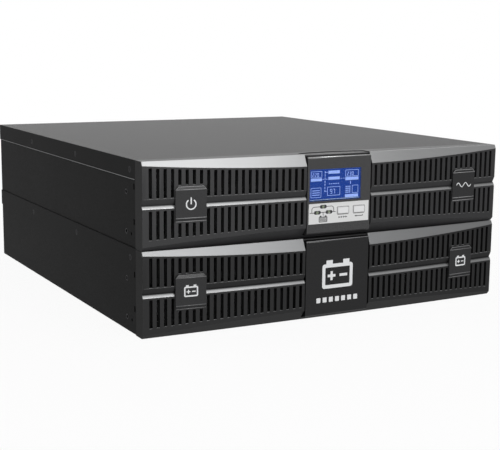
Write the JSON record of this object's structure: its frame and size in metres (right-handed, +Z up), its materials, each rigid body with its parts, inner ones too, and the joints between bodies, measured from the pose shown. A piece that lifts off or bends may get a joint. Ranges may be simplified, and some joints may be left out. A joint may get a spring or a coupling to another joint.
{
  "type": "uninterruptible power supply",
  "caption": "Rack or shelf uninterruptible power supply: a UPS module with a blue display stacked on a battery box, both with bowed slotted bezels.",
  "frame": {"origin": "centre of the bounding box's underside, where the battery box rests", "axes": "+X to the right seen from the front, +Y from the front to the back, +Z up"},
  "size_m": [0.44, 0.5044, 0.176],
  "materials": {
    "cover_paint": "satin black powder coat",
    "chassis_paint": "satin black powder coat",
    "zinc_steel": "zinc-plated sheet",
    "black_screw": "black zinc",
    "bright_screw": "bright zinc",
    "guard_wire": "plated wire",
    "bezel_plastic": "fine-grained black moulding",
    "gloss_black": "gloss black moulding",
    "silver_trim": "silver-painted plastic",
    "panel_silver": "printed aluminium foil",
    "lcd_blue": "backlit blue liquid crystal",
    "clear_window": "clear pane",
    "button_grey": "grey key",
    "light_pipe": "translucent green",
    "socket_black": "moulded nylon",
    "contact_brass": "bare",
    "connector_red": "red nylon housing",
    "port_shell": "nickel-plated shell",
    "white_knob": "white push button",
    "fan_plastic": "glass-filled black",
    "board_green": "solder mask",
    "part_black": "moulded package",
    "sink_metal": "extruded",
    "can_sleeve": "sleeved can",
    "copper_coil": "enamelled copper winding",
    "relay_case": "cream case",
    "battery_block": "grey case, density of a lead-acid block",
    "lead_red": "insulated strap",
    "breaker_grey": "light grey case",
    "pad_rubber": "thin pad"
  },
  "bodies": {
    "battery_box": {"battery_chassis": "chassis_paint", "battery_top_cover": "cover_paint", "battery_screws": "black_screw", "battery_rear_panel": "chassis_paint", "batteries": "battery_block", "battery_terminals": "contact_brass", "battery_tray": "zinc_steel", "hold_down_bars": "zinc_steel", "battery_links": "lead_red", "dc_breaker": "breaker_grey", "dc_connectors": "connector_red", "dc_fuse": "relay_case"},
    "ups_module": {"ups_chassis": "chassis_paint", "ups_top_cover": "cover_paint", "ups_screws": "black_screw", "ups_rear_panel": "chassis_paint", "stacking_pads": "pad_rubber", "fan_frames": "fan_plastic", "fan_guards": "guard_wire", "fan_screws": "bright_screw", "mains_inlet": "socket_black", "outlet_sockets": "socket_black", "reset_breakers": "socket_black", "usb_port": "port_shell", "serial_port": "port_shell", "network_jacks": "socket_black", "slot_cover": "chassis_paint", "ups_battery_connector": "connector_red", "power_board": "board_green", "board_standoffs": "contact_brass", "heatsinks": "sink_metal", "power_transistors": "part_black", "bus_capacitors": "can_sleeve", "inductors": "copper_coil", "relays": "relay_case", "control_board": "board_green", "emi_filter": "zinc_steel"},
    "ups_front": {"ups_bezel": "bezel_plastic", "ups_facet_trims": "silver_trim", "ups_channel_strips": "silver_trim", "ups_badges": "gloss_black", "display_housing": "gloss_black", "lcd_module": "lcd_blue", "lcd_window": "clear_window", "control_panel": "panel_silver", "display_board": "board_green", "status_lights": "light_pipe"},
    "select_key": {"select_button": "button_grey"},
    "enter_key": {"enter_button": "button_grey"},
    "fan_left": {"fan_rotor_left": "fan_plastic"},
    "fan_right": {"fan_rotor_right": "fan_plastic"},
    "input_reset": {"input_reset_button": "white_knob"},
    "output_reset": {"output_reset_button": "white_knob"},
    "battery_front": {"battery_bezel": "bezel_plastic", "battery_facet_trims": "silver_trim", "battery_channel_strips": "silver_trim", "battery_badges": "gloss_black", "battery_plate": "gloss_black", "battery_symbol": "silver_trim"},
    "breaker_lever": {"dc_breaker_toggle": "part_black"}
  },
  "joints": [
    {"name": "ups_lift", "type": "slide", "parent": "battery_box", "child": "ups_module", "axis": [0, 0, 1], "range_m": [0, 0.12]},
    {"name": "ups_front_pull", "type": "slide", "parent": "ups_module", "child": "ups_front", "axis": [0, -1, 0], "range_m": [0, 0.06]},
    {"name": "battery_front_pull", "type": "slide", "parent": "battery_box", "child": "battery_front", "axis": [0, -1, 0], "range_m": [0, 0.06]},
    {"name": "select_press", "type": "slide", "parent": "ups_front", "child": "select_key", "axis": [0, 1, 0], "range_m": [0, 0.0011], "stiffness_N_per_m": 400},
    {"name": "enter_press", "type": "slide", "parent": "ups_front", "child": "enter_key", "axis": [0, 1, 0], "range_m": [0, 0.0011], "stiffness_N_per_m": 400},
    {"name": "fan_left_spin", "type": "hinge", "parent": "ups_module", "child": "fan_left", "pos_m": [-0.168, 0.23025, 0.1321], "axis": [0, 1, 0], "continuous": true},
    {"name": "fan_right_spin", "type": "hinge", "parent": "ups_module", "child": "fan_right", "pos_m": [-0.084, 0.23025, 0.1321], "axis": [0, 1, 0], "continuous": true},
    {"name": "input_reset_press", "type": "slide", "parent": "ups_module", "child": "input_reset", "axis": [0, -1, 0], "range_m": [0, 0.0018], "stiffness_N_per_m": 800},
    {"name": "output_reset_press", "type": "slide", "parent": "ups_module", "child": "output_reset", "axis": [0, -1, 0], "range_m": [0, 0.0018], "stiffness_N_per_m": 800},
    {"name": "breaker_throw", "type": "hinge", "parent": "battery_box", "child": "breaker_lever", "pos_m": [0, 0.23725, 0.0439], "axis": [1, 0, 0], "range_deg": [0, 50]}
  ]
}
